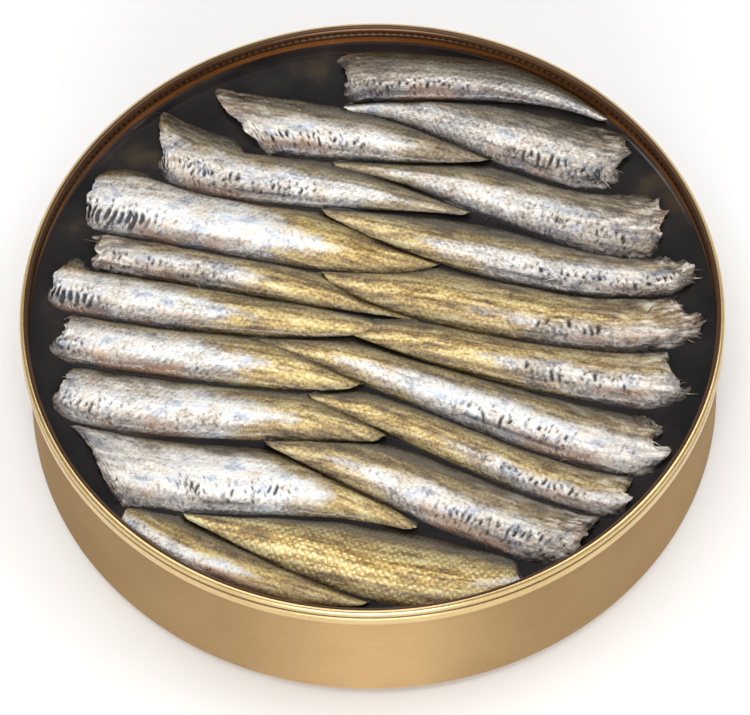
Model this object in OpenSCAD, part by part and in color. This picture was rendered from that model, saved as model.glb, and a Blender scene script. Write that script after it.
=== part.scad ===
// Round tin of small fish in oil, opened, with its lid gone.
// The origin is at the middle of the foot, +Z is up, and the viewer's side is -Y. Sizes are in mm.

/* [Tin] */
// Diameter across the double seam at the rim
seam_d = 102.4; // [82:0.2:126]
// Overall height
tin_h = 24; // [20:0.5:32]
// Thickness of the tinplate
wall_t = 0.25; // [0.2:0.05:0.4]
// Height of the double seam
seam_h = 3.2; // [2.6:0.1:4]
// Thickness of the double seam
seam_t = 1.3; // [1:0.1:1.6]
// How far the seam stands out from the wall
seam_proud = 0.75; // [0.6:0.05:0.9]
// Depth of the collar that the torn-off lid left inside the rim
collar_h = 4; // [3.4:0.1:5]
// Outer radius of the corner between wall and foot
corner_r = 2.2; // [1.6:0.1:3]
// Width of the flat foot ring
foot_w = 3; // [2:0.5:5]
// Height of the base panel above the foot
panel_rise = 0.8; // [0.5:0.1:1.4]

/* [Oil] */
// From the rim down to the oil
oil_drop = 3.6; // [2.6:0.1:4.5]

/* [Fish] */
// From the rim down to the highest line of each fish
crown_drop = 1.6; // [1.4:0.1:2.6]
// How much lower than that the lowest fish lies
sink = 0.4; // [0.2:0.1:0.6]
// Thickness of a fish as a share of its width
plumpness = 0.62; // [0.5:0.02:0.8]
// Fullness of the section: 2 is an ellipse, more is squarer
fullness = 2.8; // [2:0.1:3.6]
// Thickness of the thinnest tail
tail_t = 1; // [0.8:0.1:1.6]
// Angle at which each fish leans on the next nearer one
lean = 7; // [4:1:14]
// How far each back reaches under the next farther fish
tuck = 2.2; // [1.6:0.1:3]
// Clearance between the fish and the collar
side_gap = 0.4; // [0.3:0.1:1]

/* [Hidden] */
// Tin radii, from the outside in
seam_r = seam_d / 2;
body_r = seam_r - seam_proud;
inner_r = body_r - wall_t;
collar_r = seam_r - seam_t;
pack_r = collar_r - side_gap;
foot_in_r = body_r - corner_r - foot_w;
panel_r = foot_in_r - panel_rise;
// A 45 degree slope moves along by this much when it is set back by the wall thickness
slope_shift = wall_t * (sqrt(2) - 1);
roll_r = seam_t / 2;
seam_foot_r = 0.3;
seam_z = tin_h - seam_h;
collar_z = tin_h - collar_h;
oil_z = tin_h - oil_drop;
crown_z = tin_h - crown_drop;
// Facets round the oil and the packing circle
round_n = 72;
// Sides of a fish's section, and the places along it where a section stands
ring_n = 8;
ring_u = [0, 0.04, 0.14, 0.3, 0.46, 0.62, 0.78, 0.9, 1];
// A head end is this much narrower than the body just behind it
head_share = 0.72;
head_len = 0.04;
// Fish that can reach over another one are at most this many places before it
reach = 4;
// The lie of the fish is drawn for a collar of this radius, and follows the real one
drawn_r = 50.4;
lie = collar_r / drawn_r;

// Each fish, from the far side to the near side: four places along it, from its cut head end
// to its tail. Each place is [x, y, width that shows]. Heads lie left and right in turn.
fish = [
    [[-4, 43, 7], [9, 42.4, 6.2], [23, 40.2, 4.2], [35.5, 34.2, 0.8]],
    [[39.5, 27, 7], [28, 29.3, 10.2], [12, 35.6, 6.6], [-3, 37.6, 1]],
    [[-20.6, 36, 9.4], [-10, 34, 7.8], [4, 31.5, 6.2], [18, 28, 1]],
    [[44.5, 15.6, 8.5], [32, 16.8, 9.8], [14, 23.2, 5.8], [-5, 27.6, 0.8]],
    [[-32.2, 33, 8.6], [-20, 27, 8.6], [-4, 23.2, 5.8], [14.5, 18.2, 0.6]],
    [[46.5, 7.3, 4.8], [34, 6.6, 6.4], [14, 11.9, 6.2], [-7, 19.3, 0.6]],
    [[-42, 23, 11.5], [-28, 19.8, 10.4], [-8, 14.3, 9], [10, 9.6, 0.8]],
    [[47.3, -0.5, 6.5], [32, -1.1, 9.4], [10, 3.8, 8.4], [-7, 8, 0.8]],
    [[-42, 13.8, 6], [-28, 11, 6.2], [-12, 6.9, 5.5], [6, 0.2, 0.6]],
    [[-47.5, 8.4, 7.5], [-34, 4.9, 8], [-15, 1.1, 6], [0, -1.4, 1.5]],
    [[44.7, -11.2, 8], [33, -10.4, 9], [12, -5.2, 6.5], [-4, -1.6, 0.8]],
    [[42, -23.3, 8], [27, -19.8, 9], [6, -10.6, 7], [-17, -2.8, 0.6]],
    [[-46.3, -0.4, 8.5], [-34, -3.7, 7.9], [-16, -7.1, 7.4], [-2, -11, 1.5]],
    [[37.5, -31.3, 7], [24, -27.6, 6.6], [7, -19.1, 5.4], [-9.5, -13, 0.6]],
    [[-46.3, -9.6, 8.5], [-33, -13.8, 8.9], [-15, -15.9, 7.8], [1, -20.3, 1.8]],
    [[31, -38.6, 8], [18, -35, 9], [0, -26.4, 7.2], [-16, -21, 0.6]],
    [[-43, -21.3, 12.5], [-25, -26.5, 11], [-9, -28.8, 8.6], [5, -36, 1]],
    [[21, -45, 3], [6, -43.8, 10.5], [-10, -38.8, 8.4], [-28, -32.8, 0.8]],
    [[-37, -32, 4], [-24, -40.2, 6], [-12, -45, 5], [-2, -48.2, 1]]
];
// How far each head end slants: mm along the fish for each mm towards the viewer
head_slant = [0.2, 0.5, 1.05, 0.5, 0.9, 0, -0.1, 0.1, 0, 0, 0.15, 0.1, 0, 0.5, 0.1, 0.8, 1.3, 0, 0];
// Distance from the head over which the slant dies away
slant_len = 9;

function fish_name(i) = str("sprat_", i < 9 ? "0" : "", i + 1);

// Points on an arc from angle a0 to a1
function arc(centre, r, a0, a1, steps) =
    [for (i = [0 : steps]) let (a = a0 + (a1 - a0) * i / steps) centre + r * [cos(a), sin(a)]];

// Inner line of the tin from the collar's foot down to the middle of the base
function inside_line() = concat(
    [[collar_r, collar_z], [inner_r, collar_z - (inner_r - collar_r)]],
    arc([body_r - corner_r, corner_r], corner_r - wall_t, 0, -90, 4),
    [[foot_in_r + slope_shift, wall_t],
     [panel_r + slope_shift, panel_rise + wall_t],
     [0, panel_rise + wall_t]]
);

// Outer line of the tin from the middle of the base up and over the rolled rim
function outside_line() = concat(
    [[0, panel_rise], [panel_r, panel_rise], [foot_in_r, 0]],
    arc([body_r - corner_r, corner_r], corner_r, -90, 0, 6),
    [[body_r, seam_z]],
    arc([seam_r - seam_foot_r, seam_z + seam_foot_r], seam_foot_r, -90, 0, 3),
    arc([seam_r - roll_r, tin_h - roll_r], roll_r, 0, 180, 8)
);

// A cubic through four values that stand at 0, 1/3, 2/3 and 1
function through(v, u) =
    v[0] * (1 - 3 * u) * (2 - 3 * u) * (1 - u) / 2
    + v[1] * 9 * u * (1 - u) * (2 - 3 * u) / 2
    + v[2] * 9 * u * (1 - u) * (3 * u - 1) / 2
    + v[3] * u * (3 * u - 1) * (3 * u - 2) / 2;

function mid_x(f, u) = lie * through([for (p = f) p[0]], u);
function mid_y(f, u) = lie * through([for (p = f) p[1]], u);
function blunt(u) = min(1, head_share + (1 - head_share) * u / head_len);

// Whole width, with the part that is tucked under the next farther fish
function full_w(f, u) =
    lie * blunt(u) * max(f[3][2], through([for (p = f) p[2]], u)) + tuck;
function thick(f, u) = max(tail_t, plumpness * (full_w(f, u) - tuck));

// Level direction across a fish, towards the viewer
function across(f, u) =
    let (du = 0.02,
         dx = mid_x(f, u + du) - mid_x(f, u - du),
         dy = mid_y(f, u + du) - mid_y(f, u - du),
         side = dx > 0 ? 1 : -1)
    side * [dy, -dx] / norm([dx, dy]);

// One corner of the flat section before it leans: a full ellipse of half axes a and b
function corner(a, b, t) =
    [a * sign(cos(t)) * pow(abs(cos(t)), 2 / fullness),
     b * sign(sin(t)) * pow(abs(sin(t)), 2 / fullness)];

// Height of a fish's crown: the fish lie unevenly, in turns of five
function crown_of(i) = crown_z - sink * ((3 * i) % 5) / 4;

// How far a section slants along the fish, for each mm across it
function slant(i, u) =
    head_slant[i] * exp(-lie * u * norm([for (k = [0, 1]) fish[i][3][k] - fish[i][0][k]]) / slant_len);

// One section of fish i, leaning, with its near edge high
function ring(i, u) =
    let (f = fish[i],
         n = across(f, u),
         side = f[3][0] > f[0][0] ? 1 : -1,
         flat = [for (k = [0 : ring_n - 1])
             corner(full_w(f, u) / 2, thick(f, u) / 2, 360 * k / ring_n)],
         heights = [for (p = flat) p[0] * sin(lean) + p[1] * cos(lean)],
         base_z = crown_of(i) - max(heights))
    [for (k = [0 : ring_n - 1])
        let (s = flat[k][0] * cos(lean) - flat[k][1] * sin(lean),
             slide = slant(i, u) * s,
             t = s - tuck / 2)
        [mid_x(f, u) + n[0] * t - side * n[1] * slide,
         mid_y(f, u) + n[1] * t + side * n[0] * slide,
         base_z + heights[k]]];

// The stretch of fish i between two sections
module stretch(i, u0, u1) {
    hull()
        polyhedron(
            points = concat(ring(i, u0), ring(i, u1)),
            faces = concat(
                [[for (k = [ring_n - 1 : -1 : 0]) k], [for (k = [0 : ring_n - 1]) k + ring_n]],
                [for (k = [0 : ring_n - 1]) let (m = (k + 1) % ring_n)
                    [k, m, m + ring_n, k + ring_n]]
            )
        );
}

module whole_fish(i) {
    for (k = [0 : len(ring_u) - 2])
        stretch(i, ring_u[k], ring_u[k + 1]);
}

// What the fish are packed into
module pack_room() {
    cylinder(h = tin_h, r = pack_r, $fn = round_n);
}

// A fish as it lies: kept off the collar and pressed by the farther fish that lie on it
module sprat(i) {
    color(i % 2 == 0 ? "#c8c2b8" : "#b3a678")
        difference() {
            intersection() {
                whole_fish(i);
                pack_room();
            }
            for (j = [max(0, i - reach) : 1 : i - 1])
                whole_fish(j);
        }
}

// Oil from the base up to its level, round the fish
module oil() {
    color("#4a4433")
        difference() {
            rotate_extrude($fn = round_n)
                polygon(concat([[0, oil_z], [collar_r, oil_z]], inside_line()));
            intersection() {
                for (i = [0 : len(fish) - 1])
                    whole_fish(i);
                pack_room();
            }
        }
}

// Drawn tinplate body with its double seam, gold lacquered
module tin() {
    color("#c9a468")
        rotate_extrude($fn = 180)
            polygon(concat(outside_line(), inside_line()));
}

tin();
oil();
for (i = [0 : len(fish) - 1])
    sprat(i);
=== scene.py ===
import math
from types import SimpleNamespace
import bpy
import numpy as np
from mathutils import Matrix, Vector


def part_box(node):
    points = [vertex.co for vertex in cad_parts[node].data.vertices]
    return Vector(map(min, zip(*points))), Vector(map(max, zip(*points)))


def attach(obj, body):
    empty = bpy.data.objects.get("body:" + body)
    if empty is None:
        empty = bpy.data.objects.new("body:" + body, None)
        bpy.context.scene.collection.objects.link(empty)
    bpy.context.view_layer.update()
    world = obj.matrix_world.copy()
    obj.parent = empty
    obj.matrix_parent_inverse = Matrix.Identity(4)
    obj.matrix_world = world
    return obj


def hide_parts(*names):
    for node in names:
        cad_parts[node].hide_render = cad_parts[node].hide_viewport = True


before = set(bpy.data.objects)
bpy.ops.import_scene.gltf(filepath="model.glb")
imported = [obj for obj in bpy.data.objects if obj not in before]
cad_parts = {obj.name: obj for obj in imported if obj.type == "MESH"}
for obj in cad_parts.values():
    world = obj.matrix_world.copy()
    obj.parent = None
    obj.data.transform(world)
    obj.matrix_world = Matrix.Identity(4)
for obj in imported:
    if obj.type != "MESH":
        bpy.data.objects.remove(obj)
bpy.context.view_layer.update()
print("frame loaded")

mm = 0.001
tinLow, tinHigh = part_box("tin")
rimTop = tinHigh[2] / mm
seamRadius = (tinHigh[0] - tinLow[0]) / 2 / mm
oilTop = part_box("oil")[1][2] / mm
crownTop = max(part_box(name)[1][2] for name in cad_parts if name.startswith("sprat")) / mm

# A long lens about a metre away, looking down on the open tin, turned a little clockwise
camera = {
    "elevation": 57.0,               # degrees above the table
    "distance": 1024,                # mm from the middle of the rim
    "focal": 338.8, "sensor": 36,    # mm
    "roll": 1.56,                    # degrees
    "rimOffset": (-0.004, 0.06333),  # from the picture's middle to the rim's middle, in widths of the picture
    "clip": (0.05, 20),              # m
}


def makeCamera(spec):
    e, roll = math.radians(spec["elevation"]), math.radians(spec["roll"])
    back = Vector((0, -math.cos(e), math.sin(e)))
    right, up = Vector((1, 0, 0)), Vector((0, math.sin(e), math.cos(e)))
    rolledRight = right * math.cos(roll) - up * math.sin(roll)
    rolledUp = right * math.sin(roll) + up * math.cos(roll)
    offX, offY = spec["rimOffset"]
    forward = (-back * spec["focal"] / spec["sensor"] - rolledRight * offX - rolledUp * offY).normalized()
    rightAxis = forward.cross(rolledUp).normalized()
    upAxis = rightAxis.cross(forward)
    place = Vector((0, 0, rimTop * mm)) + back * spec["distance"] * mm
    turn = Matrix((rightAxis, upAxis, -forward)).transposed().to_4x4()
    data = bpy.data.cameras.new("camera")
    data.lens, data.sensor_width = spec["focal"], spec["sensor"]
    data.clip_start, data.clip_end = spec["clip"]
    cam = bpy.data.objects.new("camera", data)
    cam.matrix_world = Matrix.Translation(place) @ turn
    bpy.context.collection.objects.link(cam)
    bpy.context.scene.camera = cam


makeCamera(camera)
bpy.context.scene.view_settings.view_transform = "Standard"
print("camera made")


def linear(hexColour):
    # sRGB hex to the linear colour that the shaders want
    parts = [int(hexColour[i:i + 2], 16) / 255 for i in (1, 3, 5)]
    return tuple(c / 12.92 if c <= 0.04045 else ((c + 0.055) / 1.055) ** 2.4 for c in parts) + (1,)


def fill(tree, node, inputs):
    # each input takes a number, a hex colour, a node (its first output) or one of a node's outputs
    for key, value in inputs.items():
        if isinstance(value, bpy.types.Node):
            value = value.outputs[0]
        if isinstance(value, bpy.types.NodeSocket):
            tree.links.new(value, node.inputs[key])
        else:
            node.inputs[key].default_value = linear(value) if isinstance(value, str) else value


def addNode(tree, kind, inputs=None, stops=None, **settings):
    # one node with its settings, its inputs and, on a ramp, its (place, hex colour) stops from left to right
    node = tree.nodes.new("ShaderNode" + kind)
    for key, value in settings.items():
        setattr(node, key, value)
    fill(tree, node, inputs or {})
    if stops:
        elements = node.color_ramp.elements
        while len(elements) < len(stops):
            elements.new(0.5)
        for element, (place, colour) in zip(elements, stops):
            element.position, element.color = place, linear(colour)
    return node


def newMaterial(name):
    material = bpy.data.materials.new(name)
    material.use_nodes = True
    return material, material.node_tree, material.node_tree.nodes["Principled BSDF"]


def perMetre(size):
    # pattern scale on Object coordinates, which are in metres, from a size in mm
    return 1 / (size * mm)


def step(low, high, value):
    # smooth change from 0 at low to 1 at high
    t = np.clip((value - low) / (high - low), 0, 1)
    return t * t * (3 - 2 * t)


def softNoise(x, y, cell, seed):
    # value noise from -1 to 1: random numbers on a square lattice of that cell, blended by a smooth step
    size = 64
    table = np.random.default_rng(seed).uniform(-1, 1, (size, size))
    gx, gy = x / cell, y / cell
    ix, iy = np.floor(gx).astype(int), np.floor(gy).astype(int)
    fx, fy = step(0, 1, gx - ix), step(0, 1, gy - iy)
    near, right = table[ix % size, iy % size], table[(ix + 1) % size, iy % size]
    above, far = table[ix % size, (iy + 1) % size], table[(ix + 1) % size, (iy + 1) % size]
    return (near * (1 - fx) + right * fx) * (1 - fy) + (above * (1 - fx) + far * fx) * fy


def makeSkin(name, grid, firstPole, lastPole, uv=None, masks=None):
    # A grid of rows x ring points in mm, closed round the ring, with a fan to a pole at its first and last
    # row. uv is rows x ring x 2, and a mask has one or three numbers a point. Faces are turned outwards by
    # the sign of the volume they enclose.
    rows, ring = grid.shape[:2]
    count = rows * ring
    points = np.vstack([grid.reshape(-1, 3), [firstPole], [lastPole]])
    index = np.arange(count).reshape(rows, ring)
    now, then = index[:-1], index[1:]
    quads = np.stack([now, np.roll(now, -1, 1), np.roll(then, -1, 1), then], -1).reshape(-1, 4)
    fans = np.vstack([np.stack([np.full(ring, count), np.roll(index[0], -1), index[0]], -1),
                      np.stack([np.full(ring, count + 1), index[-1], np.roll(index[-1], -1)], -1)])
    p = points[np.vstack([quads[:, :3], quads[:, [0, 2, 3]], fans])]
    if np.einsum("ij,ij->i", p[:, 0], np.cross(p[:, 1], p[:, 2])).sum() < 0:
        quads, fans = quads[:, ::-1], fans[:, ::-1]
    mesh = bpy.data.meshes.new(name)
    mesh.from_pydata((points * mm).tolist(), [], quads.tolist() + fans.tolist())
    if uv is not None:
        corner = np.empty(len(mesh.loops), int)
        mesh.loops.foreach_get("vertex_index", corner)
        flat = uv.reshape(-1, 2)
        flat = np.vstack([flat, flat[:1], flat[:1]])
        mesh.uv_layers.new(name="skin").data.foreach_set("uv", flat[corner].astype(np.float32).ravel())
    for key, mask in (masks or {}).items():
        flat = mask.reshape(count, -1)
        flat = np.vstack([flat, flat[:1], flat[-1:]]).astype(np.float32)
        kind, field = ("FLOAT", "value") if flat.shape[1] == 1 else ("FLOAT_VECTOR", "vector")
        mesh.attributes.new(key, kind, "POINT").data.foreach_set(field, flat.ravel())
    mesh.polygons.foreach_set("use_smooth", np.ones(len(mesh.polygons), bool))
    mesh.update()
    piece = bpy.data.objects.new(name, mesh)
    bpy.context.collection.objects.link(piece)
    return piece


# Drawn tinplate can with a double seam, sizes in mm
tin = {
    "seamHeight": 3.2, "seamThick": 1.3, "seamProud": 0.75, "wall": 0.25, "collar": 4, "corner": 2.2,
    "foot": 3, "panelRise": 0.8, "footRoll": 0.35, "axisHole": 0.01,
    "groove": 0.32, "grooveDrop": 1.35, "bandDrop": 1.62,   # the line that the seaming roller leaves
    "around": 400, "knurls": 300, "bands": 4,               # bands: how far below the rim the colour changes
}
tinFinish = {
    "goldLacquer": {"base": "#ae9168", "dark": "#9e815a", "rough": 0.68, "metal": 0.65, "brushed": 0.85},
    "seamLacquer": {"base": "#dcc290", "dark": "#c3a671", "rough": 0.22, "metal": 0.75, "brushed": 0.0},
    "collarLacquer": {"base": "#ffffff", "dark": "#c9bfb5", "rough": 0.25, "metal": 0.5},
}


def arc(cx, cy, r, start, end, steps):
    # points on an arc from the start angle to the end angle
    a = np.radians(np.linspace(start, end, steps))
    return np.stack([cx + r * np.cos(a), cy + r * np.sin(a)], -1)


def tinProfile(t):
    # the closed section of the can as one line of (radius, height), from the middle of the base outwards,
    # up the wall, over the roll and down inside, and the finish of each stretch: 0 wall, 1 seam, 2 inside
    wall, rise, hole = t["wall"], t["panelRise"], t["axisHole"]
    seamR, bodyR = seamRadius, seamRadius - t["seamProud"]
    innerR, collarR = bodyR - wall, seamR - t["seamThick"]
    cornerR = bodyR - t["corner"]
    footR = cornerR - t["foot"]
    panelR = footR - rise
    seamZ, rollR = rimTop - t["seamHeight"], t["seamThick"] / 2
    collarZ, roll = rimTop - t["collar"], t["footRoll"]
    shift = wall * (math.sqrt(2) - 1)     # a 45 degree slope moves along by this when set back by the wall
    grooveR, grooveZ = seamR - t["groove"], rimTop - t["grooveDrop"]
    line = [
        (0, [[hole, rise], [panelR * 0.5, rise], [panelR, rise], [footR, 0]]),
        (0, arc(cornerR, t["corner"], t["corner"], -90, 0, 12)),
        (0, [[bodyR, z] for z in np.linspace(t["corner"] + 0.5, seamZ - 0.35, 24)]),
        (0, [[bodyR - 0.03, seamZ - 0.15], [bodyR + 0.02, seamZ]]),
        (1, arc(seamR - roll, seamZ + roll, roll, -90, 0, 7)),
        (1, [[seamR - 0.02, seamZ + 1.0], [seamR - 0.03, rimTop - t["bandDrop"]]]),
        (1, [[grooveR, grooveZ - 0.08], [grooveR, grooveZ + 0.08], [seamR - 0.04, grooveZ + 0.3]]),
        (1, arc(seamR - rollR, rimTop - rollR, rollR, 0, 84, 13)),
        (2, arc(seamR - rollR, rimTop - rollR, rollR, 90, 180, 13)),
        (2, [[collarR + 0.1, rimTop - 1.1], [collarR + 0.2, rimTop - 1.3], [collarR + 0.12, rimTop - 1.5]]),
        (2, [[collarR - 0.06, rimTop - 1.75], [collarR - 0.02, rimTop - 1.95]]),
        (2, [[collarR + 0.05, z] for z in np.linspace(rimTop - 2.1, collarZ, 8)]),
        (2, [[innerR, collarZ - (innerR - collarR)]]),
        (2, arc(cornerR, t["corner"], t["corner"] - wall, 0, -90, 8)),
        (2, [[footR + shift, wall], [panelR + shift, rise + wall], [hole, rise + wall]]),
    ]
    return (np.vstack([np.array(part, float) for _, part in line]),
            np.concatenate([np.full(len(part), finish) for finish, part in line]))


def lacquer(name):
    # Gold lacquer baked over tinplate: satin, with faint drawing marks that run round the wall
    spec = tinFinish[name]
    material, tree, shader = newMaterial(name)
    place = addNode(tree, "TexCoord").outputs["Object"]
    drawn = addNode(tree, "Mapping", {"Scale": (perMetre(4), perMetre(4), perMetre(0.286)), "Vector": place})
    marks = addNode(tree, "TexNoise", {"Scale": 1.0, "Detail": 4, "Vector": drawn})
    cloud = addNode(tree, "TexNoise", {"Scale": perMetre(14.3), "Detail": 3, "Vector": place})
    grit = addNode(tree, "TexNoise", {"Scale": perMetre(0.4), "Detail": 2, "Vector": place})
    mixed = 0.0
    for pattern, share in ((marks, 0.25), (cloud, 0.5), (grit, 0.25)):
        mixed = addNode(tree, "Math", {0: pattern, 1: share, 2: mixed}, operation="MULTIPLY_ADD")
    tone = addNode(tree, "ValToRGB", {"Fac": mixed}, [(0.35, spec["dark"]), (0.65, spec["base"])])
    rough = addNode(tree, "MapRange", {
        "Value": mixed, "To Min": spec["rough"] - 0.05, "To Max": spec["rough"] + 0.07})
    bump = addNode(tree, "Bump", {"Strength": 0.1, "Distance": 0.05 * mm, "Height": grit})
    fill(tree, shader, {"Roughness": rough, "Normal": bump, "Metallic": spec["metal"]})
    # 0 at the foot of the bands of colour near the rim, 1 at the rim
    parts = addNode(tree, "SeparateXYZ", {0: place})
    high = addNode(tree, "MapRange", {
        "Value": parts.outputs[2], "From Min": (rimTop - tin["bands"]) * mm, "From Max": rimTop * mm})
    return material, tree, shader, tone, parts, high


def outerLacquer(name):
    # outside, painted shade darkens the groove over the seam and the line at its foot
    material, tree, shader, tone, parts, high = lacquer(name)
    bands = addNode(tree, "ValToRGB", {"Fac": high}, [
        (0.14, "#ffffff"), (0.18, "#7a6a58"), (0.23, "#ffffff"), (0.59, "#ffffff"), (0.63, "#2c1c10"),
        (0.7, "#2c1c10"), (0.74, "#ffffff")])
    colour = addNode(tree, "MixRGB", {"Fac": 1.0, "Color1": tone, "Color2": bands}, blend_type="MULTIPLY")
    fill(tree, shader, {
        "Base Color": colour, "Specular IOR Level": 0.2,     # the lacquer is too thin for a white sheen
        "Anisotropic": tinFinish[name]["brushed"],           # drawing marks run round the wall, so that
        "Anisotropic Rotation": 0.25})                       # light spreads up and down it
    return material


def collarLacquer(name):
    # Inside lacquer is thicker and fired darker. The seaming chuck leaves a row of small knurls near the top.
    material, tree, shader, tone, parts, high = lacquer(name)
    angle = addNode(tree, "Math", {0: parts.outputs[1], 1: parts.outputs[0]}, operation="ARCTAN2")
    beat = addNode(tree, "Math", {0: angle, 1: tin["knurls"]}, operation="MULTIPLY")
    beat = addNode(tree, "Math", {0: beat}, operation="SINE")
    beat = addNode(tree, "MapRange", {"Value": beat, "From Min": -0.2, "From Max": 0.6})
    # bands of colour by height: painted shade dark at the foot and in a line under the bead 2 mm below the
    # rim, a lighter orange band between them that is partly the lacquer's own colour and partly painted
    # light, and brown above
    bands = addNode(tree, "ValToRGB", {"Fac": high}, [
        (0.06, "#2c180c"), (0.2, "#b5743e"), (0.42, "#a5672f"), (0.5, "#3c2413"), (0.6, "#5c3c20"),
        (0.8, "#68462a"), (0.95, "#543a22"), (1.0, "#5a3d24")])
    colour = addNode(tree, "MixRGB", {"Fac": 1.0, "Color1": tone, "Color2": bands}, blend_type="MULTIPLY")
    row = addNode(tree, "ValToRGB", {"Fac": high}, [
        (0.56, "#000000"), (0.6, "#ffffff"), (0.7, "#ffffff"), (0.74, "#000000")])
    knurls = addNode(tree, "Math", {0: row, 1: beat}, operation="MULTIPLY")
    knurls = addNode(tree, "Math", {0: knurls, 1: 0.75}, operation="MULTIPLY")
    colour = addNode(tree, "MixRGB", {"Fac": knurls, "Color1": colour, "Color2": "#120803"})
    fill(tree, shader, {"Base Color": colour})
    return material


def makeTin(t):
    # the profile turned round the axis: (r cos a, r sin a, z)
    profile, finish = tinProfile(t)
    turn = np.linspace(0, 2 * np.pi, t["around"], endpoint=False)
    radius, height = profile[:, :1], profile[:, 1:]
    grid = np.stack([radius * np.cos(turn), radius * np.sin(turn), np.repeat(height, len(turn), 1)], -1)
    piece = makeSkin("tinBody", grid, [0, 0, t["panelRise"]], [0, 0, t["panelRise"] + t["wall"]])
    for finishing, name in ((outerLacquer, "goldLacquer"), (outerLacquer, "seamLacquer"),
                            (collarLacquer, "collarLacquer")):
        piece.data.materials.append(finishing(name))
    finishOf = np.repeat(np.concatenate([finish[1:], [0, 2]]), t["around"])     # the rows, then the two fans
    piece.data.polygons.foreach_set("material_index", finishOf.astype(np.int32))
    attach(piece, "root")
    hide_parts("tin")


makeTin(tin)
print("tin made")

# How all the fish are built, sizes in mm
fishBuild = {
    "drawnRadius": 50.4, "plump": 0.62, "tailThick": 0.9, "lean": 7, "tuck": 2.2, "full": 2.5,
    "tailFull": 1.7, "sink": 0.4, "reach": 5, "slantFade": 9, "hollow": 1.1,
    "slitPitch": 1.05, "tick": (0.9, 1.15), "wallGap": 0.25, "overCrown": 0.35,
    "rows": 330, "crowding": 1.08, "outlineSteps": 90, "upperRing": 64, "lowerRing": 16,
    "faceRows": (0.15, 0.35, 0.55, 0.72, 0.85, 0.94), "tailRows": (0.75, 0.4),     # they close the two ends
}
# Slits along the belly, as ranges: bold ones are deeper, nearer the edge, taller across the fish and wider
slitKinds = {
    "fine": {"strength": (-0.3, 1.2), "centre": (0.68, 0.82), "tall": (0.04, 0.09), "wide": 0.19},
    "bold": {"strength": (0.5, 1.2), "centre": (0.76, 0.84), "tall": (0.08, 0.13), "wide": 0.27},
}
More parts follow.
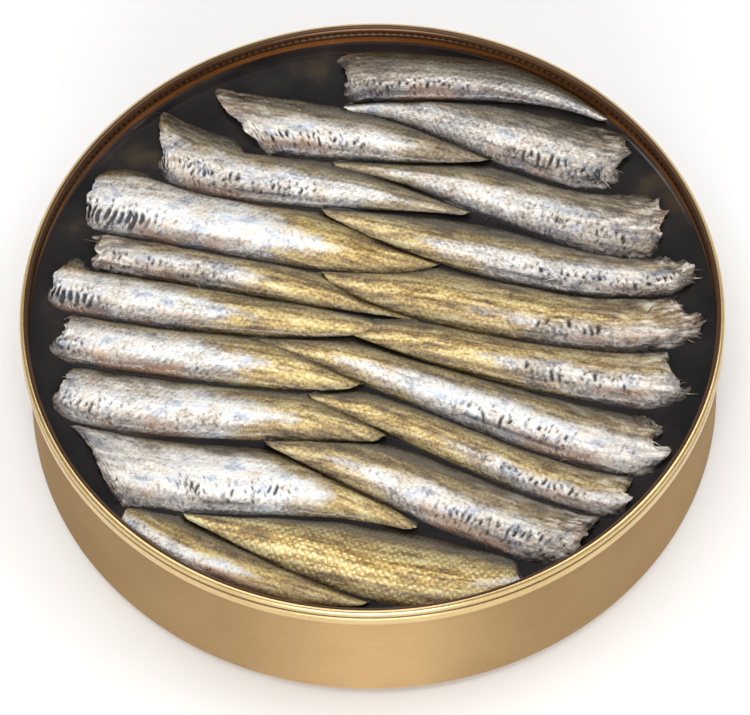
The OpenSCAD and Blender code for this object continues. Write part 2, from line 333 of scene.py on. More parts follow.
# Each fish from the far side to the near side. at: four places from the cut head end to the tail, each
# [x, y, width that shows]. round: how rounded the head end is. cut: how far it slants, as mm along for each
# mm towards the viewer. torn: how ragged it is. gold: 0 grey, 1 yellow. scales: how clear the scale edges
# are, where that is not 0.35. silver: how far along it goes, how much of the back stays dark, how white it
# is. dash and flesh: from, to and strength along the belly.
fishList = [
    {"at": [[-4, 43, 7], [9, 42.4, 6.2], [23, 40.2, 4.2], [35.5, 34.2, 0.8]],
     "round": 0.3, "cut": 0.2, "torn": 0.5, "gold": 0.1,
     "silver": (1.2, 0.42, -0.6), "dash": (0, 0.5, 0.8), "flesh": (0.2, 0.45, 0.6)},
    {"at": [[39.5, 27, 7], [28, 29.3, 10.2], [12, 35.6, 6.6], [-3, 37.6, 1]],
     "round": 1, "cut": 0.5, "torn": 0.8, "gold": 0.2,
     "silver": (1.1, 0.32, 0), "dash": (0.1, 0.45, 1), "flesh": (0.3, 0.5, 0.6)},
    {"at": [[-20.6, 36, 9.4], [-10, 34, 7.8], [4, 31.5, 6.2], [18, 28, 1]],
     "round": 0.25, "cut": 1.05, "torn": 0.7, "gold": 0.4,
     "silver": (0.75, 0.3, 0.35), "dash": (0.05, 0.6, 0.8), "flesh": (0.1, 0.42, 0.8)},
    {"at": [[44.5, 15.6, 8.5], [32, 16.8, 9.8], [14, 23.2, 5.8], [-5, 27.6, 0.8]],
     "round": 0.4, "cut": 0.5, "torn": 1, "gold": 0.5,
     "silver": (0.85, 0.36, 0.15), "dash": (0.15, 0.5, 0.7), "flesh": (0, 0.3, 0.5)},
    {"at": [[-32.2, 33, 8.6], [-20, 27, 8.6], [-4, 23.2, 5.8], [14.5, 18.2, 0.6]],
     "round": 0.25, "cut": 0.9, "torn": 0.4, "gold": 0.5,
     "silver": (0.85, 0.3, 0.35), "dash": (0, 0.6, 1), "flesh": (0.15, 0.45, 0.7)},
    {"at": [[46.5, 7.3, 4.8], [34, 6.6, 6.4], [14, 11.9, 6.2], [-7, 19.3, 0.6]],
     "round": 0.6, "cut": 0, "torn": 1, "gold": 0.75,
     "silver": (0.75, 0.34, 0.4), "dash": (0.1, 0.6, 1), "flesh": (0.2, 0.4, 0.6)},
    {"at": [[-42, 23, 11.5], [-28, 19.8, 10.4], [-8, 14.3, 9], [10, 9.6, 0.8]],
     "round": 1, "cut": -0.1, "torn": 0.2, "gold": 1,
     "silver": (0.68, 0.1, 0.9), "dash": (0, 0.27, 1.4), "flesh": (0.22, 0.45, 0.8)},
    {"at": [[47.3, -0.5, 6.5], [32, -1.1, 9.4], [10, 3.8, 8.4], [-7, 8, 0.8]],
     "round": 0.5, "cut": 0.1, "torn": 1, "gold": 0.9,
     "silver": (0.56, 0.66, 0), "dash": (0.3, 0.5, 1), "flesh": (0.05, 0.35, 0.7)},
    {"at": [[-42, 13.8, 6], [-28, 11, 6.2], [-12, 6.9, 5.5], [6, 0.2, 0.6]],
     "round": 0.3, "cut": 0, "torn": 0.9, "gold": 0.9,
     "silver": (0.6, 0.35, 0.4), "dash": (0.1, 0.5, 0.5), "flesh": (0.05, 0.4, 1.2)},
    {"at": [[-47.5, 8.4, 7.5], [-34, 4.9, 8], [-15, 1.1, 6], [0, -1.4, 1.5]],
     "round": 1, "cut": 0, "torn": 0.1, "gold": 0.9,
     "silver": (0.6, 0.22, 0.7), "dash": (0, 0.22, 1.4), "flesh": (0.05, 0.45, 0.7)},
    {"at": [[44.7, -11.2, 8], [33, -10.4, 9], [12, -5.2, 6.5], [-4, -1.6, 0.8]],
     "round": 1, "cut": 0.15, "torn": 0.7, "gold": 0.9,
     "silver": (0.56, 0.52, 0.15), "dash": (0.25, 0.55, 0.9), "flesh": (0.15, 0.35, 0.8)},
    {"at": [[42, -23.3, 8], [27, -19.8, 9], [6, -10.6, 7], [-17, -2.8, 0.6]],
     "round": 0.5, "cut": 0.1, "torn": 0.8, "gold": 0.85,
     "silver": (0.8, 0.36, 0.7), "dash": (0.3, 0.6, 1), "flesh": (0.2, 0.42, 0.8)},
    {"at": [[-46.3, -0.4, 8.5], [-34, -3.7, 7.9], [-16, -7.1, 7.4], [-2, -11, 1.5]],
     "round": 0.7, "cut": 0, "torn": 0.4, "gold": 0.95,
     "silver": (0.66, 0.2, 0.7), "dash": (0, 0.15, 0.7), "flesh": (0.12, 0.5, 1.1)},
    {"at": [[37.5, -31.3, 7], [24, -27.6, 6.6], [7, -19.1, 5.4], [-9.5, -13, 0.6]],
     "round": 0.5, "cut": 0.5, "torn": 0.6, "gold": 0.85,
     "silver": (0.56, 0.55, 0.2), "dash": (0.2, 0.5, 0.8), "flesh": (0.05, 0.3, 0.6)},
    {"at": [[-46.3, -9.6, 8.5], [-33, -13.8, 8.9], [-15, -15.9, 7.8], [1, -20.3, 1.8]],
     "round": 0.8, "cut": 0.1, "torn": 0.3, "gold": 0.8,
     "silver": (0.68, 0.12, 0.6), "dash": (0.05, 0.3, 0.6), "flesh": (0.2, 0.45, 0.8)},
    {"at": [[31, -38.6, 8], [18, -35, 9], [0, -26.4, 7.2], [-16, -21, 0.6]],
     "round": 0.4, "cut": 0.8, "torn": 1, "gold": 0.75,
     "silver": (0.75, 0.42, 0.45), "dash": (0.1, 0.5, 0.8), "flesh": (0.25, 0.5, 0.9)},
    {"at": [[-43, -21.3, 12.5], [-25, -26.5, 11], [-9, -28.8, 8.6], [5, -36, 1]],
     "round": 0.2, "cut": 1.3, "torn": 0.8, "gold": 0.9,
     "silver": (0.72, 0.14, 0.95), "dash": (0.25, 0.6, 1), "flesh": (0, 0.2, 0.5)},
    {"at": [[21, -45, 3], [6, -43.8, 10.5], [-10, -38.8, 8.4], [-28, -32.8, 0.8]],
     "round": 0.2, "cut": 0, "torn": 0.1, "gold": 1, "scales": 1,
     "silver": (0.1, 0.5, 0.3), "dash": (0, 0, 0), "flesh": (0, 0.3, 0.6)},
    {"at": [[-37, -32, 4], [-24, -40.2, 6], [-12, -45, 5], [-2, -48.2, 1]],
     "round": 0.2, "cut": 0, "torn": 0.1, "gold": 1,
     "silver": (0.5, 0.5, 0.4), "dash": (0, 0, 0), "flesh": (0.3, 0.9, 0.8)},
]
lie = (seamRadius - tin["seamThick"]) / fishBuild["drawnRadius"]


def through(values, s):
    # the cubic through four values that stand at 0, 1/3, 2/3 and 1
    v0, v1, v2, v3 = values
    return (v0 * (1 - 3 * s) * (2 - 3 * s) * (1 - s) / 2 + v1 * 9 * s * (1 - s) * (2 - 3 * s) / 2
            + v2 * 9 * s * (1 - s) * (3 * s - 1) / 2 + v3 * s * (3 * s - 1) * (3 * s - 2) / 2)


def spineOf(fish, share):
    # middle line (x, y), its direction (tx, ty), the direction across it towards the viewer (ax, ay), the
    # width that shows, the tuck under the next fish, the length so far and how blunt the two ends are
    xs, ys, ws = zip(*fish["at"])
    d = 0.01
    x, y = lie * through(xs, share), lie * through(ys, share)
    dx = through(xs, share + d) - through(xs, share - d)
    dy = through(ys, share + d) - through(ys, share - d)
    norm, side = np.hypot(dx, dy), np.sign(dx)
    width = lie * np.maximum(ws[3], through(ws, share))
    length = np.concatenate([[0], np.cumsum(np.hypot(np.diff(x), np.diff(y)))])
    # quarter circles round off the head end and the tail tip: 0 at the very end, 1 away from it
    head = np.clip(length / (1.2 + 3.4 * fish["round"]), 0, 1)
    tail = np.clip((length[-1] - length) / 1.3, 0, 1)
    headCurve, tailCurve = np.sqrt(1 - (1 - head) ** 2), np.sqrt(1 - (1 - tail) ** 2)
    tuck = fishBuild["tuck"] * (1 - 0.5 * step(0.7, 1, share))
    return SimpleNamespace(
        x=x, y=y, tx=dx / norm, ty=dy / norm, ax=side * dy / norm, ay=-side * dx / norm, width=width,
        tuck=tuck, length=length, headCurve=headCurve, tailCurve=tailCurve,
        full=(width + tuck) * (0.6 + 0.4 * headCurve) * (0.4 + 0.6 * tailCurve))


def outlineOf(fish):
    # what a fish covers, seen from above
    o = spineOf(fish, np.linspace(0, 1, fishBuild["outlineSteps"]))
    o.x, o.y = o.x - o.ax * o.tuck / 2, o.y - o.ay * o.tuck / 2
    o.thick = fishBuild["plump"] * o.width * (0.5 + 0.5 * o.headCurve)
    o.cut = fish["cut"]
    return o


outlines = [outlineOf(fish) for fish in fishList]


def gapTo(o, x, y):
    # about how far a point is outside (+) or inside (-) a fish seen from above, and how thick it is there
    dx, dy = x[..., None] - o.x, y[..., None] - o.y
    near = np.argmin(dx * dx + dy * dy, -1)
    ex, ey = x - o.x[near], y - o.y[near]
    aside = ex * o.ax[near] + ey * o.ay[near]
    along = ex * o.tx[near] + ey * o.ty[near]
    fromHead = o.length[near] + along
    head = o.cut * aside * np.exp(-np.maximum(fromHead, 0) / fishBuild["slantFade"]) - fromHead
    tail = np.where(near == len(o.x) - 1, along, -99)
    end = np.maximum(head / math.hypot(1, o.cut), tail)
    return np.maximum(np.abs(aside) - o.full[near] / 2, end), o.thick[near]


def gapToAll(some, x, y):
    # the smallest gap to any of the fish, and the thickness of that fish
    gap, thick = np.full(x.shape, 99.0), np.zeros(x.shape)
    for outline in some:
        thisGap, thisThick = gapTo(outline, x, y)
        thick = np.where(thisGap < gap, thisThick, thick)
        gap = np.minimum(gap, thisGap)
    return gap, thick


def bodyOf(fish):
    # A full ellipse |x/a|^n + |z/b|^n = 1 at each place along the spine, as whole grids of rows x ring. u is
    # the share along the fish, and v the share across it, from where the back comes out from under the next
    # fish (0) to the near edge, which is the belly (1).
    b = fishBuild
    quarter = b["lowerRing"] // 2
    angle = np.radians(np.concatenate([
        np.linspace(-90, 0, quarter, endpoint=False), np.linspace(0, 180, b["upperRing"], endpoint=False),
        np.linspace(180, 270, quarter, endpoint=False)]))
    body = np.linspace(0, 1, b["rows"]) ** b["crowding"]
    head, close = b["faceRows"], b["tailRows"]
    share = np.concatenate([np.zeros(len(head)), body, np.ones(len(close))])
    scale = np.concatenate([head, np.ones(len(body)), close])
    g = spineOf(fish, share)
    shape = (len(share), len(angle))
    halfWide = g.full / 2 * scale
    halfThick = np.maximum(b["tailThick"], b["plump"] * g.width) / 2 * scale * (
        0.55 + 0.45 * g.headCurve) * (0.5 + 0.5 * g.tailCurve)
    g.rise = np.hypot(halfThick / scale * math.cos(math.radians(b["lean"])),
                      g.full / 2 * 0.8 * math.sin(math.radians(b["lean"])))
    g.dip = 0.5 * step(0.6, 1, share) + 0.7 * np.exp(-g.length / 1.6)
    power = 2 / (b["full"] + (b["tailFull"] - b["full"]) * step(0.5, 1, share))[:, None]
    c, s = np.cos(angle)[None], np.sin(angle)[None]
    g.flatX = halfWide[:, None] * np.sign(c) * np.abs(c) ** power
    g.flatZ = halfThick[:, None] * np.sign(s) * np.abs(s) ** power
    outX = np.sign(c) * (np.abs(c) + 1e-6) ** (2 - power) / halfWide[:, None]
    outZ = np.sign(s) * (np.abs(s) + 1e-6) ** (2 - power) / halfThick[:, None]
    outLength = np.hypot(outX, outZ) + 1e-9
    g.outX, g.outZ = outX / outLength, outZ / outLength
    g.along = np.repeat(g.length[:, None], shape[1], 1)
    ringStep = np.hypot(np.diff(g.flatX, axis=1, prepend=g.flatX[:, :1]),
                        np.diff(g.flatZ, axis=1, prepend=g.flatZ[:, :1]))
    across = np.cumsum(ringStep, 1)
    g.across = across - across[:, shape[1] // 2][:, None]
    tuckShare = (g.tuck / (g.width + g.tuck))[:, None]
    g.v = ((g.flatX / np.maximum(halfWide, 1e-6)[:, None] + 1) / 2 - tuckShare) / (1 - tuckShare)
    g.u = np.repeat(share[:, None], shape[1], 1)
    g.isFace = np.repeat((np.arange(shape[0]) < len(head))[:, None], shape[1], 1).astype(float)
    g.top = step(-0.1, 0.3, np.repeat(s, shape[0], 0))
    g.thin = np.minimum(1, np.minimum(halfThick, halfWide)[:, None] / 1.2)
    g.share, g.scale, g.shape = share, scale, shape
    return g


def markSkin(fish, g, seed):
    # where the skin is silver, slit, raw and torn, each from 0 to about 1
    b = fishBuild
    g.patchy = softNoise(g.along / 2.2, g.across, 1.6, seed + 1)
    g.fine = softNoise(g.along / 1.5, g.across, 0.45, seed + 2)
    silverTo, backShare, _ = fish["silver"]
    wedge = g.u + 0.45 * np.abs(g.v - 0.66) + 0.05 * g.patchy + 0.03 * g.fine
    g.silver = step(backShare - 0.1, backShare + 0.16, g.v + 0.06 * g.patchy + 0.03 * g.fine) * (
        1 - step(silverTo - 0.06, silverTo + 0.1, wedge))

    # slits stand side by side along the belly, each with its own strength, place and height
    dashFrom, dashTo, dashStrength = fish["dash"]
    kind = slitKinds["bold" if dashStrength > 1 else "fine"]
    pitch = b["slitPitch"]
    phase = g.along / pitch + 0.45 * softNoise(g.along, g.across, 2.2, seed + 3) + 0.12 * (
        g.v - 0.8) * g.full[:, None]
    number = np.floor(phase).astype(int)
    strength, centre, tall = [
        np.random.default_rng(seed + 4 + i).uniform(*kind[key], 200)[number % 200]
        for i, key in enumerate(("strength", "centre", "tall"))]
    g.window = step(dashFrom - 0.04, dashFrom + 0.02, g.u) * (1 - step(dashTo - 0.06, dashTo + 0.04, g.u))
    slit = np.exp(-(((phase - number - 0.5) * pitch) / kind["wide"]) ** 2) * np.exp(
        -np.abs((g.v - centre) / tall) ** 4) * strength * g.window * dashStrength * g.top

    # small ticks between the scales: one in each cell of a lattice, some left out
    cellAlong, cellAcross = b["tick"]
    column = np.floor(g.along / cellAlong)
    ia, ic = column.astype(int), np.floor(g.across / cellAcross + 0.5 * (column % 2)).astype(int)
    size = np.random.default_rng(seed + 12).uniform(-0.5, 1, (64, 64))[ia % 64, ic % 64]
    shift = np.random.default_rng(seed + 13).uniform(-0.2, 0.2, (64, 64))[ia % 64, ic % 64]
    da = g.along - (ia + 0.5 + shift) * cellAlong + 0.25 * (g.across % cellAcross - cellAcross / 2)
    dc = g.across - (ic + 0.5 - 0.5 * (ia % 2) + shift) * cellAcross
    tick = np.exp(-(da / 0.14) ** 2 - (dc / 0.38) ** 2) * np.clip(size, 0, 1) * g.silver * step(
        0.4, 0.62, g.v) * (1 - step(0.93, 1, g.v)) * g.top

    # dark lining that shows in one line above the belly edge
    lining = g.window * min(dashStrength, 1) * np.exp(-((g.v - 0.9) / 0.03) ** 2) * step(
        -0.2, 0.4, softNoise(g.along / 4, 0 * g.across, 1.0, seed + 14)) * g.top
    g.slit = np.clip(0.8 * lining + 1.9 * np.maximum(slit, 0) + (0.7 + 0.7 * g.window) * tick, 0, 1)

    fleshFrom, fleshTo, fleshStrength = fish["flesh"]
    g.flesh = step(0.74, 0.88, g.v + 0.06 * g.patchy) * step(fleshFrom - 0.06, fleshFrom + 0.04, g.u) * (
        1 - step(fleshTo - 0.05, fleshTo + 0.08, g.u)) * fleshStrength
    g.torn = fish["torn"] * np.exp(-g.along / (2.5 + 7 * fish["torn"]))


def shapeSkin(fish, number, g, seed):
    # relief pushes the section outwards, and slide moves it along the fish: ragged, hollow and slanted ends
    b = fishBuild
    lump = softNoise(g.along / 2.2, g.across, 0.75, seed + 7) + 0.6 * softNoise(
        g.along / 1.5, g.across, 0.4, seed + 8)
    ripple = np.sin(2 * np.pi * (g.along / 0.9 + 1.4 * np.abs(g.v - 0.55))) * (1 - step(0.75, 0.9, g.v))
    relief = (0.14 * g.patchy * g.top + 0.04 * g.fine - 0.3 * g.slit + 0.4 * g.torn * lump
              + 0.022 * ripple * g.top)
    relief -= 0.1 * np.exp(-((g.v - 0.36) / 0.04) ** 2) * g.top * (1 - g.isFace)      # line along the flank
    relief *= g.thin * (1 - g.isFace)
    flatX, flatZ = g.flatX + g.outX * relief, g.flatZ + g.outZ * relief

    rim = g.across[len(b["faceRows"])][None]
    jag = sum(share * softNoise(rim, np.full_like(rim, number), cell, seed + turn)
              for share, cell, turn in ((1, 2.0, 9), (0.5, 0.8, 10), (0.3, 0.35, 15)))
    push = (0.3 + 1.25 * fish["torn"]) * jag * np.exp(-g.along / 1.6) * g.scale[:, None]
    hollow = b["hollow"] * (1 - g.scale ** 2) * (g.share < 0.5)        # a gutted fish is hollow at the cut
    slide = ((hollow + 0.6)[:, None] - push) * np.exp(-g.along / 3)
    slide = np.where(g.u > 0.5, 0.5 * (1 - g.scale)[:, None], slide)

    lean = math.radians(b["lean"])
    lateral = flatX * math.cos(lean) - flatZ * math.sin(lean) - g.tuck[:, None] / 2
    slide += fish["cut"] * (lateral + g.tuck[:, None] / 2) * np.exp(-g.along / b["slantFade"])
    crown = crownTop - b["sink"] * ((3 * (number - 1)) % 5) / 4
    px = g.x[:, None] + g.ax[:, None] * lateral + g.tx[:, None] * slide
    py = g.y[:, None] + g.ay[:, None] * lateral + g.ty[:, None] * slide
    pz = (crown - g.rise - g.dip)[:, None] + flatX * math.sin(lean) + flatZ * math.cos(lean)

    # pressed down where farther fish lie on it, with a groove just in front of their near edges
    g.gap, thick = gapToAll(outlines[max(0, number - 1 - b["reach"]):number - 1], px, py)
    away = np.maximum(g.gap, 0)
    weight = 0.2 + 0.8 * step(0.5, 3.5, thick)
    pressed = np.where(g.gap > 0, weight * np.exp(-(away / 0.8) ** 2),
                       weight + 0.8 * np.minimum(-g.gap, 2.5))
    pz -= pressed * (0.35 + 0.65 * g.top)
    # painted shade: darkest in the groove under the near edge of the fish above, fading over about 3 mm onto
    # this fish's back
    g.crease = weight * (0.66 * np.exp(-away / 0.75) + 0.34 * np.exp(-away / 3.2))

    # nothing reaches past the collar or over the crown line
    room, soft = seamRadius - tin["seamThick"] - b["wallGap"], 1.5
    radius = np.hypot(px, py)
    squeeze = np.where(radius > room - soft, (room - soft + soft * np.tanh((radius - room + soft) / soft))
                       / np.maximum(radius, 1e-6), 1)
    return np.stack([px * squeeze, py * squeeze, np.minimum(pz, crown + b["overCrown"])], -1)


def shredsOf(fish, g, grid, seed):
    # places where loose shreds of skin start, on the torn end and the belly edge: point, way out, way along
    rng = np.random.default_rng(seed + 11)
    likely = (np.exp(-g.along / 1.5) * fish["torn"] * 0.5 * (g.v > 0.1) + 0.35 * g.torn
              + 0.012 * (g.v > 0.93) * (g.u < 0.75)) * g.top * (1 - g.isFace) * (g.gap > 0.3)
    row, column = np.nonzero(rng.uniform(0, 1, likely.shape) < likely * 0.012)
    v, atHead = g.v[row, column], g.along[row, column] < 2.5
    outward = np.stack([g.ax[row] * v - g.tx[row] * atHead, g.ay[row] * v - g.ty[row] * atHead], -1)
    return grid[row, column], outward, np.stack([g.tx[row], g.ty[row]], -1)


def makeFish(number, fish, material):
    seed = 20 * number
    g = bodyOf(fish)
    markSkin(fish, g, seed)
    grid = shapeSkin(fish, number, g, seed)
    white = fish["silver"][2]
    masks = {
        "skinMask": np.stack([g.silver, g.slit, np.clip(g.flesh, 0, 1.3)], -1),
        "bodyMask": np.stack([g.crease, g.v, np.clip(g.torn, 0, 1)], -1),
        "fishMask": np.stack([np.full(g.shape, white), np.full(g.shape, fish["gold"]), g.isFace], -1),
        "scales": np.full(g.shape, fish.get("scales", 0.35)),
    }
    uv = np.stack([g.along / 10 + number * 7.3, g.across / 10], -1)     # 10 mm of skin to each unit
    piece = makeSkin(f"sprat{number:02d}", grid, grid[0].mean(0), grid[-1].mean(0), uv, masks)
    piece.data.materials.append(material)
    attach(piece, "root")
    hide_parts(f"sprat_{number:02d}")
    return shredsOf(fish, g, grid, seed)


def makeSkinMaterial():
    # Cured sprat skin in oil: silver guanine flakes break up into a mosaic, with gold where they are lost
    material, tree, shader = newMaterial("spratSkin")
    uv = addNode(tree, "UVMap", uv_map="skin")
    parts = []
    for name in ("skinMask", "bodyMask", "fishMask"):
        mask = addNode(tree, "Attribute", attribute_name=name).outputs["Vector"]
        parts += addNode(tree, "SeparateXYZ", {0: mask}).outputs[:]
    silverMask, slitMask, fleshMask, creaseMask, across, tornMask, white, goldShare, faceMask = parts
    scales = addNode(tree, "Attribute", attribute_name="scales").outputs["Fac"]
    unit = 10                                        # mm of skin to one unit of the UV map
    warp = addNode(tree, "TexNoise", {"Scale": unit / 1.2, "Detail": 2, "Vector": uv})
    bent = addNode(tree, "MixRGB", {"Fac": 0.03, "Color1": uv, "Color2": warp.outputs["Color"]})

    # noises by their size across the fish in mm, how many times longer they are along it, and their detail
    patterns = []
    for size, stretch, detail in ((0.3, 1.3, 3), (0.55, 5, 3), (1.1, 9, 2), (2.0, 1.8, 3), (4.5, 2.2, 2)):
        place = addNode(tree, "Mapping", {"Scale": (1 / stretch, 1, 1), "Vector": bent})
        patterns.append(addNode(tree, "TexNoise", {"Scale": unit / size, "Detail": detail, "Vector": place}))
    grain, streak, band, blotch, patch = patterns
    # flakes of half a millimetre, each with its own tone
    place = addNode(tree, "Mapping", {"Scale": (1 / 1.3, 1, 1), "Rotation": (0, 0, 0.3), "Vector": bent})
    flake = addNode(tree, "TexVoronoi", {"Scale": unit / 0.5, "Vector": place}).outputs["Color"]
    flake = addNode(tree, "SeparateXYZ", {0: flake})
    # fine parallel lines of scale edges in mm, crossing the fish at two angles
    edges = []
    for size, turn in ((0.75, 0.75), (0.8, -0.85)):
        place = addNode(tree, "Mapping", {"Rotation": (0, 0, turn), "Vector": bent})
        edges.append(addNode(tree, "TexWave", {
            "Scale": unit / size * math.pi / 10, "Distortion": 3.5, "Detail": 3, "Detail Scale": 1.2,
            "Vector": place}).outputs["Fac"])
    weave = addNode(tree, "ValToRGB", {"Fac": band}, [(0.35, "#333333"), (0.6, "#ffffff")])
    for factor in (scales, *edges):
        weave = addNode(tree, "Math", {0: weave, 1: factor}, operation="MULTIPLY")

    # zones by their place across the fish, with an edge that a pattern makes uneven
    zones = {}
    for name, pattern, share, stops in (
            # painted highlight along the crown of each fish, with painted shade at both edges
            ("crestHighlight", blotch, 0.25,
             [(0.3, "#000000"), (0.62, "#ffffff"), (0.85, "#ffffff"), (1.0, "#3a3a3a")]),
            ("flank", blotch, 0.08,
             [(0.3, "#000000"), (0.37, "#777777"), (0.4, "#777777"), (0.5, "#000000")]),
            ("back", blotch, 0.15, [(0.06, "#b4b4b4"), (0.26, "#000000")]),
            # painted shade along the belly edge, where it turns down away from the light
            ("edge", streak, 0.12, [(0.86, "#000000"), (1.0, "#bbbbbb")])):
        place = addNode(tree, "Math", {0: pattern, 1: share, 2: across}, operation="MULTIPLY_ADD")
        zones[name] = addNode(tree, "ValToRGB", {"Fac": place}, stops)

    # each tone is a sum of patterns by their shares, from a start below nought; height is for the bump
    sums = []
    for start, shares in (
            (-0.75, ((flake, 0.14), (grain, 0.55), (streak, 0.4), (band, 0.4), (patch, 0.5),
                     (zones["crestHighlight"], 0.22), (edges[0], 0.08), (white, 0.2))),
            (-0.45, ((streak, 0.6), (band, 0.6), (grain, 0.5), (weave, 0.35))),
            (0.0, ((blotch, 0.5), (streak, 0.5))),
            (0.0, ((grain, 1.0), (streak, 0.4), (weave, 0.2)))):
        for pattern, share in shares:
            start = addNode(tree, "Math", {0: pattern, 1: share, 2: start}, operation="MULTIPLY_ADD")
        sums.append(start)
    silverTone, goldTone, tornTone, height = sums

    # silver: a painted highlight makes it brightest along the crown, and painted shade cooler and darker
    # towards both edges, with blue and tan tints
    silver = addNode(tree, "ValToRGB", {"Fac": silverTone}, [
        (0.1, "#5e5854"), (0.26, "#958d86"), (0.4, "#c4bdb5"), (0.52, "#e8e4de"), (0.68, "#ffffff")])
    tint = addNode(tree, "ValToRGB", {"Fac": blotch}, [
        (0.34, "#aebcd8"), (0.45, "#ffffff"), (0.56, "#fff8ee"), (0.67, "#ecd6bc")])
    silver = addNode(tree, "MixRGB", {"Fac": 0.6, "Color1": silver, "Color2": tint}, blend_type="MULTIPLY")
    # gold and olive where the flakes are gone, darker towards the back
    gold = addNode(tree, "ValToRGB", {"Fac": goldTone}, [
        (0.2, "#5c461e"), (0.31, "#94753a"), (0.41, "#c09e54"), (0.51, "#e8ca78"), (0.66, "#fff2b8")])
    grey = addNode(tree, "ValToRGB", {"Fac": goldTone}, [
        (0.2, "#3c3935"), (0.36, "#6f695f"), (0.5, "#989185"), (0.7, "#cbc4b6")])
    backFade = addNode(tree, "MapRange", {
        "Value": across, "From Min": 0.0, "From Max": 0.55, "To Min": 0.92, "To Max": 0})
    # raw flesh in patches along the belly, and the light and dark shreds of a torn head
    raw = addNode(tree, "ValToRGB", {"Fac": band}, [(0.3, "#6a4628"), (0.5, "#a9764c"), (0.7, "#dab48e")])
    bare = addNode(tree, "ValToRGB", {"Fac": patch}, [(0.42, "#000000"), (0.56, "#ffffff")])
    rawShare = addNode(tree, "Math", {0: fleshMask, 1: bare}, operation="MULTIPLY")
    torn = addNode(tree, "ValToRGB", {"Fac": tornTone}, [
        (0.4, "#21222c"), (0.46, "#6a594a"), (0.52, "#a48f78"), (0.6, "#efe9df")])
    tornShare = addNode(tree, "Math", {0: tornMask, 1: 0.95}, operation="MULTIPLY")

    # one coat over the other: how much of it shows, and its colour
    colour = grey
    for share, coat in (
            (goldShare, gold), (backFade, "#38301a"), (silverMask, silver), (zones["flank"], "#4a4538"),
            (rawShare, raw), (tornShare, torn), (faceMask, "#3a2c27"),
            (zones["back"], "#3b3325"),      # brown along the top of the back: the fish's own dark back, deepened by painted shade under the next fish
            (zones["edge"], "#2b2c36"),      # painted shade, dark bluish where the thin belly edge turns under
            (slitMask, "#12131d"),           # slits are open to the dark inside
            (creaseMask, "#141317")):        # painted shade in the groove under the next fish
        colour = addNode(tree, "MixRGB", {"Fac": share, "Color1": colour, "Color2": coat})

    metal = addNode(tree, "Math", {0: silverMask, 1: 0.25}, operation="MULTIPLY")
    rough = addNode(tree, "MapRange", {
        "Value": grain, "From Min": 0.35, "From Max": 0.65, "To Min": 0.22, "To Max": 0.5})
    bump = addNode(tree, "Bump", {"Strength": 1.0, "Distance": 0.21 * mm, "Height": height})
    fill(tree, shader, {"Base Color": colour, "Metallic": metal, "Roughness": rough, "Normal": bump,
                        "Coat Weight": 0.55, "Coat Roughness": 0.12})       # the coat is the film of oil
    return material


skinMaterial = makeSkinMaterial()
shredStarts = [makeFish(number, fish, skinMaterial) for number, fish in enumerate(fishList, 1)]
print("fish made")

# Loose shreds of skin at the torn ends and bellies, sizes in mm
shreds = {"length": (0.5, 1.7), "thick": (0.05, 0.12), "steps": 8, "wallGap": 0.3, "seed": 77}


def makeShreds(o):
    # each shred is a three-sided tube along a quadratic curve p + d*t + bend*t*t that thins to a point
    rng = np.random.default_rng(o["seed"])
    start, outward, along = [np.concatenate(column) for column in zip(*shredStarts)]
    count, steps = len(start), o["steps"]
    length = rng.uniform(*o["length"], count) * rng.uniform(0.5, 1, count)
    direction = outward * rng.uniform(0.1, 0.7, (count, 1)) + along * rng.normal(0, 1.1, (count, 1))
    direction /= np.linalg.norm(direction, axis=1)[:, None] + 1e-6
    lift = rng.uniform(-0.1, 0.2, count)
    bend = np.stack([rng.normal(0, 1.1, count), rng.normal(0, 1.1, count), -rng.uniform(0.3, 0.9, count)], -1)
    t = np.linspace(0, 1, steps)[None, :, None]
    heading = np.concatenate([direction, lift[:, None]], 1)[:, None]
    path = start[:, None] + length[:, None, None] * (heading * t + 0.6 * bend[:, None] * t * t)
    path[..., 2] = np.clip(path[..., 2], oilTop - 0.1, crownTop + 0.4)
    room = seamRadius - tin["seamThick"] - o["wallGap"]
    radius = np.hypot(path[..., 0], path[..., 1])
    path[..., :2] *= np.minimum(1, room / radius)[..., None]
    forward = np.gradient(path, axis=1)
    forward /= np.linalg.norm(forward, axis=2)[..., None] + 1e-9
    sideways = np.cross(forward, [0.0, 0.0, 1.0])
    sideways /= np.linalg.norm(sideways, axis=2)[..., None] + 1e-9
    upward = np.cross(sideways, forward)
    thick = rng.uniform(*o["thick"], count)[:, None, None] * (1 - 0.85 * t ** 2)
    ring = np.radians([90, 210, 330])[None, None, :, None]
    tube = path[:, :, None] + thick[..., None] * (
        sideways[:, :, None] * np.cos(ring) + 0.6 * upward[:, :, None] * np.sin(ring))
    points = tube.reshape(-1, 3)
    index = np.arange(len(points)).reshape(count, steps, 3)
    now, then = index[:, :-1], index[:, 1:]
    sides = np.stack([now, np.roll(now, -1, 2), np.roll(then, -1, 2), then], -1).reshape(-1, 4)
    caps = np.concatenate([index[:, 0, ::-1], index[:, -1]])
    mesh = bpy.data.meshes.new("skinShreds")
    mesh.from_pydata((points * mm).tolist(), [], sides.tolist() + caps.tolist())
    shade = np.repeat(rng.uniform(0, 1, count), steps * 3)
    mesh.attributes.new("shade", "FLOAT", "POINT").data.foreach_set("value", shade.astype(np.float32))
    mesh.update()
    piece = bpy.data.objects.new("skinShreds", mesh)
    bpy.context.collection.objects.link(piece)
    mesh.materials.append(shredMaterial())
    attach(piece, "root")
    print("shreds:", count)


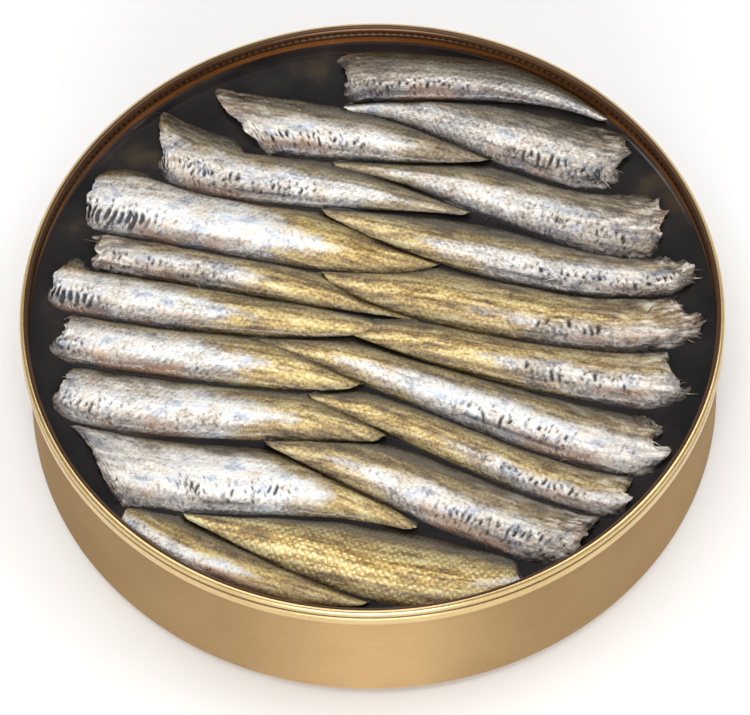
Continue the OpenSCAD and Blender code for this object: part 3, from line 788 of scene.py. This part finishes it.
def shredMaterial():
    # Shreds of skin and belly lining: thin, wet, from dark brown to nearly white
    material, tree, shader = newMaterial("tornSkin")
    tone = addNode(tree, "Attribute", attribute_name="shade").outputs["Fac"]
    place = addNode(tree, "TexCoord").outputs["Object"]
    grain = addNode(tree, "TexNoise", {"Scale": perMetre(0.4), "Detail": 2, "Vector": place})
    mixed = addNode(tree, "Math", {0: grain, 1: 0.4, 2: -0.2}, operation="MULTIPLY_ADD")
    mixed = addNode(tree, "Math", {0: mixed, 1: tone}, operation="ADD")
    colour = addNode(tree, "ValToRGB", {"Fac": mixed}, [
        (0.1, "#1f1b19"), (0.4, "#5a4c3c"), (0.75, "#94856f"), (0.98, "#d8d0c4")])
    fill(tree, shader, {"Base Color": colour, "Roughness": 0.35})
    return material


makeShreds(shreds)

# A still pool that climbs a little at the wall and at the fish, sizes in mm
oil = {
    "around": 300, "rings": 110, "middle": 0.01, "spread": 0.8, "wallRise": 0.2, "wallReach": 0.6,
    "fishRise": 0.04, "fishReach": 0.5, "intoWall": 0.1, "aboveFloor": 2,
}


def makeOil(o):
    # a disc of rings whose height is the level plus two exponential menisci, with a skirt and a flat bottom
    edge = seamRadius - tin["seamThick"]
    bottom = tin["panelRise"] + tin["wall"] + o["aboveFloor"]
    radii = edge * np.linspace(o["middle"], 1, o["rings"]) ** o["spread"]
    angle = np.linspace(0, 2 * np.pi, o["around"], endpoint=False)
    x, y = np.outer(radii, np.cos(angle)), np.outer(radii, np.sin(angle))
    gap, _ = gapToAll(outlines, x, y)
    z = oilTop + o["wallRise"] * np.exp(-(edge - radii) / o["wallReach"])[:, None] + o["fishRise"] * np.exp(
        -np.maximum(gap, 0) / o["fishReach"])
    top = np.stack([x, y, z], -1)
    lip = top[-1] * (1 + o["intoWall"] / edge * np.array([1, 1, 0]))
    foot = np.stack([x[-1], y[-1], np.full(len(angle), bottom)], -1)
    piece = makeSkin("oilPool", np.concatenate([top, [lip, foot]]), [0, 0, z[0].mean()], [0, 0, bottom])
    piece.data.materials.append(oilMaterial())
    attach(piece, "root")
    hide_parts("oil")


def oilMaterial():
    # Rapeseed oil with a clear gloss. Its colour is painted shade: nearly black, as the oil looks against the
    # dark, shaded inside of the pack
    material, tree, shader = newMaterial("packingOil")
    place = addNode(tree, "TexCoord").outputs["Object"]
    cloud = addNode(tree, "TexNoise", {"Scale": perMetre(8.33), "Detail": 3, "Vector": place})
    tone = addNode(tree, "ValToRGB", {"Fac": cloud}, [(0.35, "#1c1a1b"), (0.6, "#2a2626"), (0.72, "#413629")])
    rough = addNode(tree, "MapRange", {"Value": cloud, "To Min": 0.03, "To Max": 0.09})
    fill(tree, shader, {"Base Color": tone, "Roughness": rough, "IOR": 1.47})
    return material


makeOil(oil)
print("oil made")

# The studio, sizes in metres and power in watts
floorSpec = {"half": 3.0, "colour": "#fbfbfb", "rough": 0.9}
lights = {
    "keyBox": {"at": (-0.25, 0.05, 1.0), "size": 0.9, "power": 5.4},
    "fillBox": {"at": (0.55, 0.15, 0.95), "size": 0.7, "power": 3.6},
    "frontBox": {"at": (-0.05, -1.0, 0.25), "size": 0.7, "power": 10.5},
}
room = {"dim": 0.22, "sweep": 0.85, "colour": "#ffffff"}


def makeFloor(spec):
    half = spec["half"]
    mesh = bpy.data.meshes.new("floor")
    corners = [(-half, -half, 0), (half, -half, 0), (half, half, 0), (-half, half, 0)]
    mesh.from_pydata(corners, [], [(0, 1, 2, 3)])
    floor = bpy.data.objects.new("floor", mesh)
    bpy.context.collection.objects.link(floor)
    material, tree, shader = newMaterial("paperSweep")
    fill(tree, shader, {"Base Color": spec["colour"], "Roughness": spec["rough"]})
    mesh.materials.append(material)


def makeLights():
    for name, spec in lights.items():
        data = bpy.data.lights.new(name, "AREA")
        data.shape, data.size, data.energy = "SQUARE", spec["size"], spec["power"]
        lamp = bpy.data.objects.new(name, data)
        lamp.location = spec["at"]
        lamp.rotation_euler = (-Vector(spec["at"])).to_track_quat("-Z", "Y").to_euler()
        bpy.context.collection.objects.link(lamp)


def makeRoom(spec):
    # dim overhead, with white sweeps low behind and in front
    world = bpy.data.worlds.new("studio")
    world.use_nodes = True
    tree = world.node_tree
    parts = addNode(tree, "SeparateXYZ", {0: addNode(tree, "TexCoord").outputs["Generated"]})
    low = addNode(tree, "MapRange", {"Value": parts.outputs[2], "From Min": 0.75, "From Max": 0.4},
                  interpolation_type="SMOOTHSTEP")
    depth = addNode(tree, "Math", {0: parts.outputs[1]}, operation="ABSOLUTE")
    facing = addNode(tree, "MapRange", {"Value": depth, "From Min": 0.3, "From Max": 0.85},
                     interpolation_type="SMOOTHSTEP")
    sweep = addNode(tree, "Math", {0: low, 1: facing}, operation="MULTIPLY")
    strength = addNode(tree, "Math", {0: sweep, 1: spec["sweep"], 2: spec["dim"]}, operation="MULTIPLY_ADD")
    fill(tree, tree.nodes["Background"], {"Color": spec["colour"], "Strength": strength})
    bpy.context.scene.world = world


makeFloor(floorSpec)
makeLights()
makeRoom(room)
print("floor and lights made")
